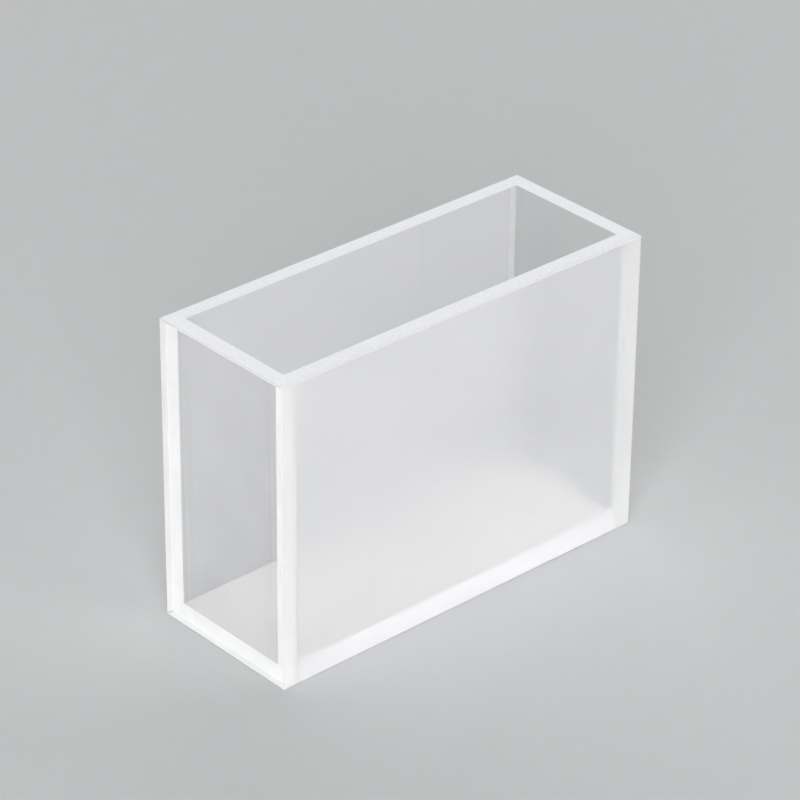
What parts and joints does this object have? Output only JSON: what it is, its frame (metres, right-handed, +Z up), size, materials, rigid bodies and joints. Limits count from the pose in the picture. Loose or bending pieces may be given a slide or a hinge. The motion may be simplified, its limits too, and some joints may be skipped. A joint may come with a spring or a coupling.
{
  "type": "cuvette",
  "caption": "Rectangular fused quartz cuvette, open at the top, with clear polished end windows and ground broad walls.",
  "frame": {"origin": "middle of the underside, on the surface that the cuvette stands on", "axes": "+X along the light path, from the left window to the right one; +Y across the cavity, from the front wall to the back one; +Z up, out of the open mouth"},
  "size_m": [0.0324, 0.0126, 0.0233],
  "materials": {
    "polished_quartz": "polished",
    "ground_quartz": "fine ground, satin"
  },
  "bodies": {
    "root": {"left_window": "polished_quartz", "right_window": "polished_quartz", "front_wall": "ground_quartz", "back_wall": "ground_quartz", "base_plate": "ground_quartz"}
  },
  "joints": []
}
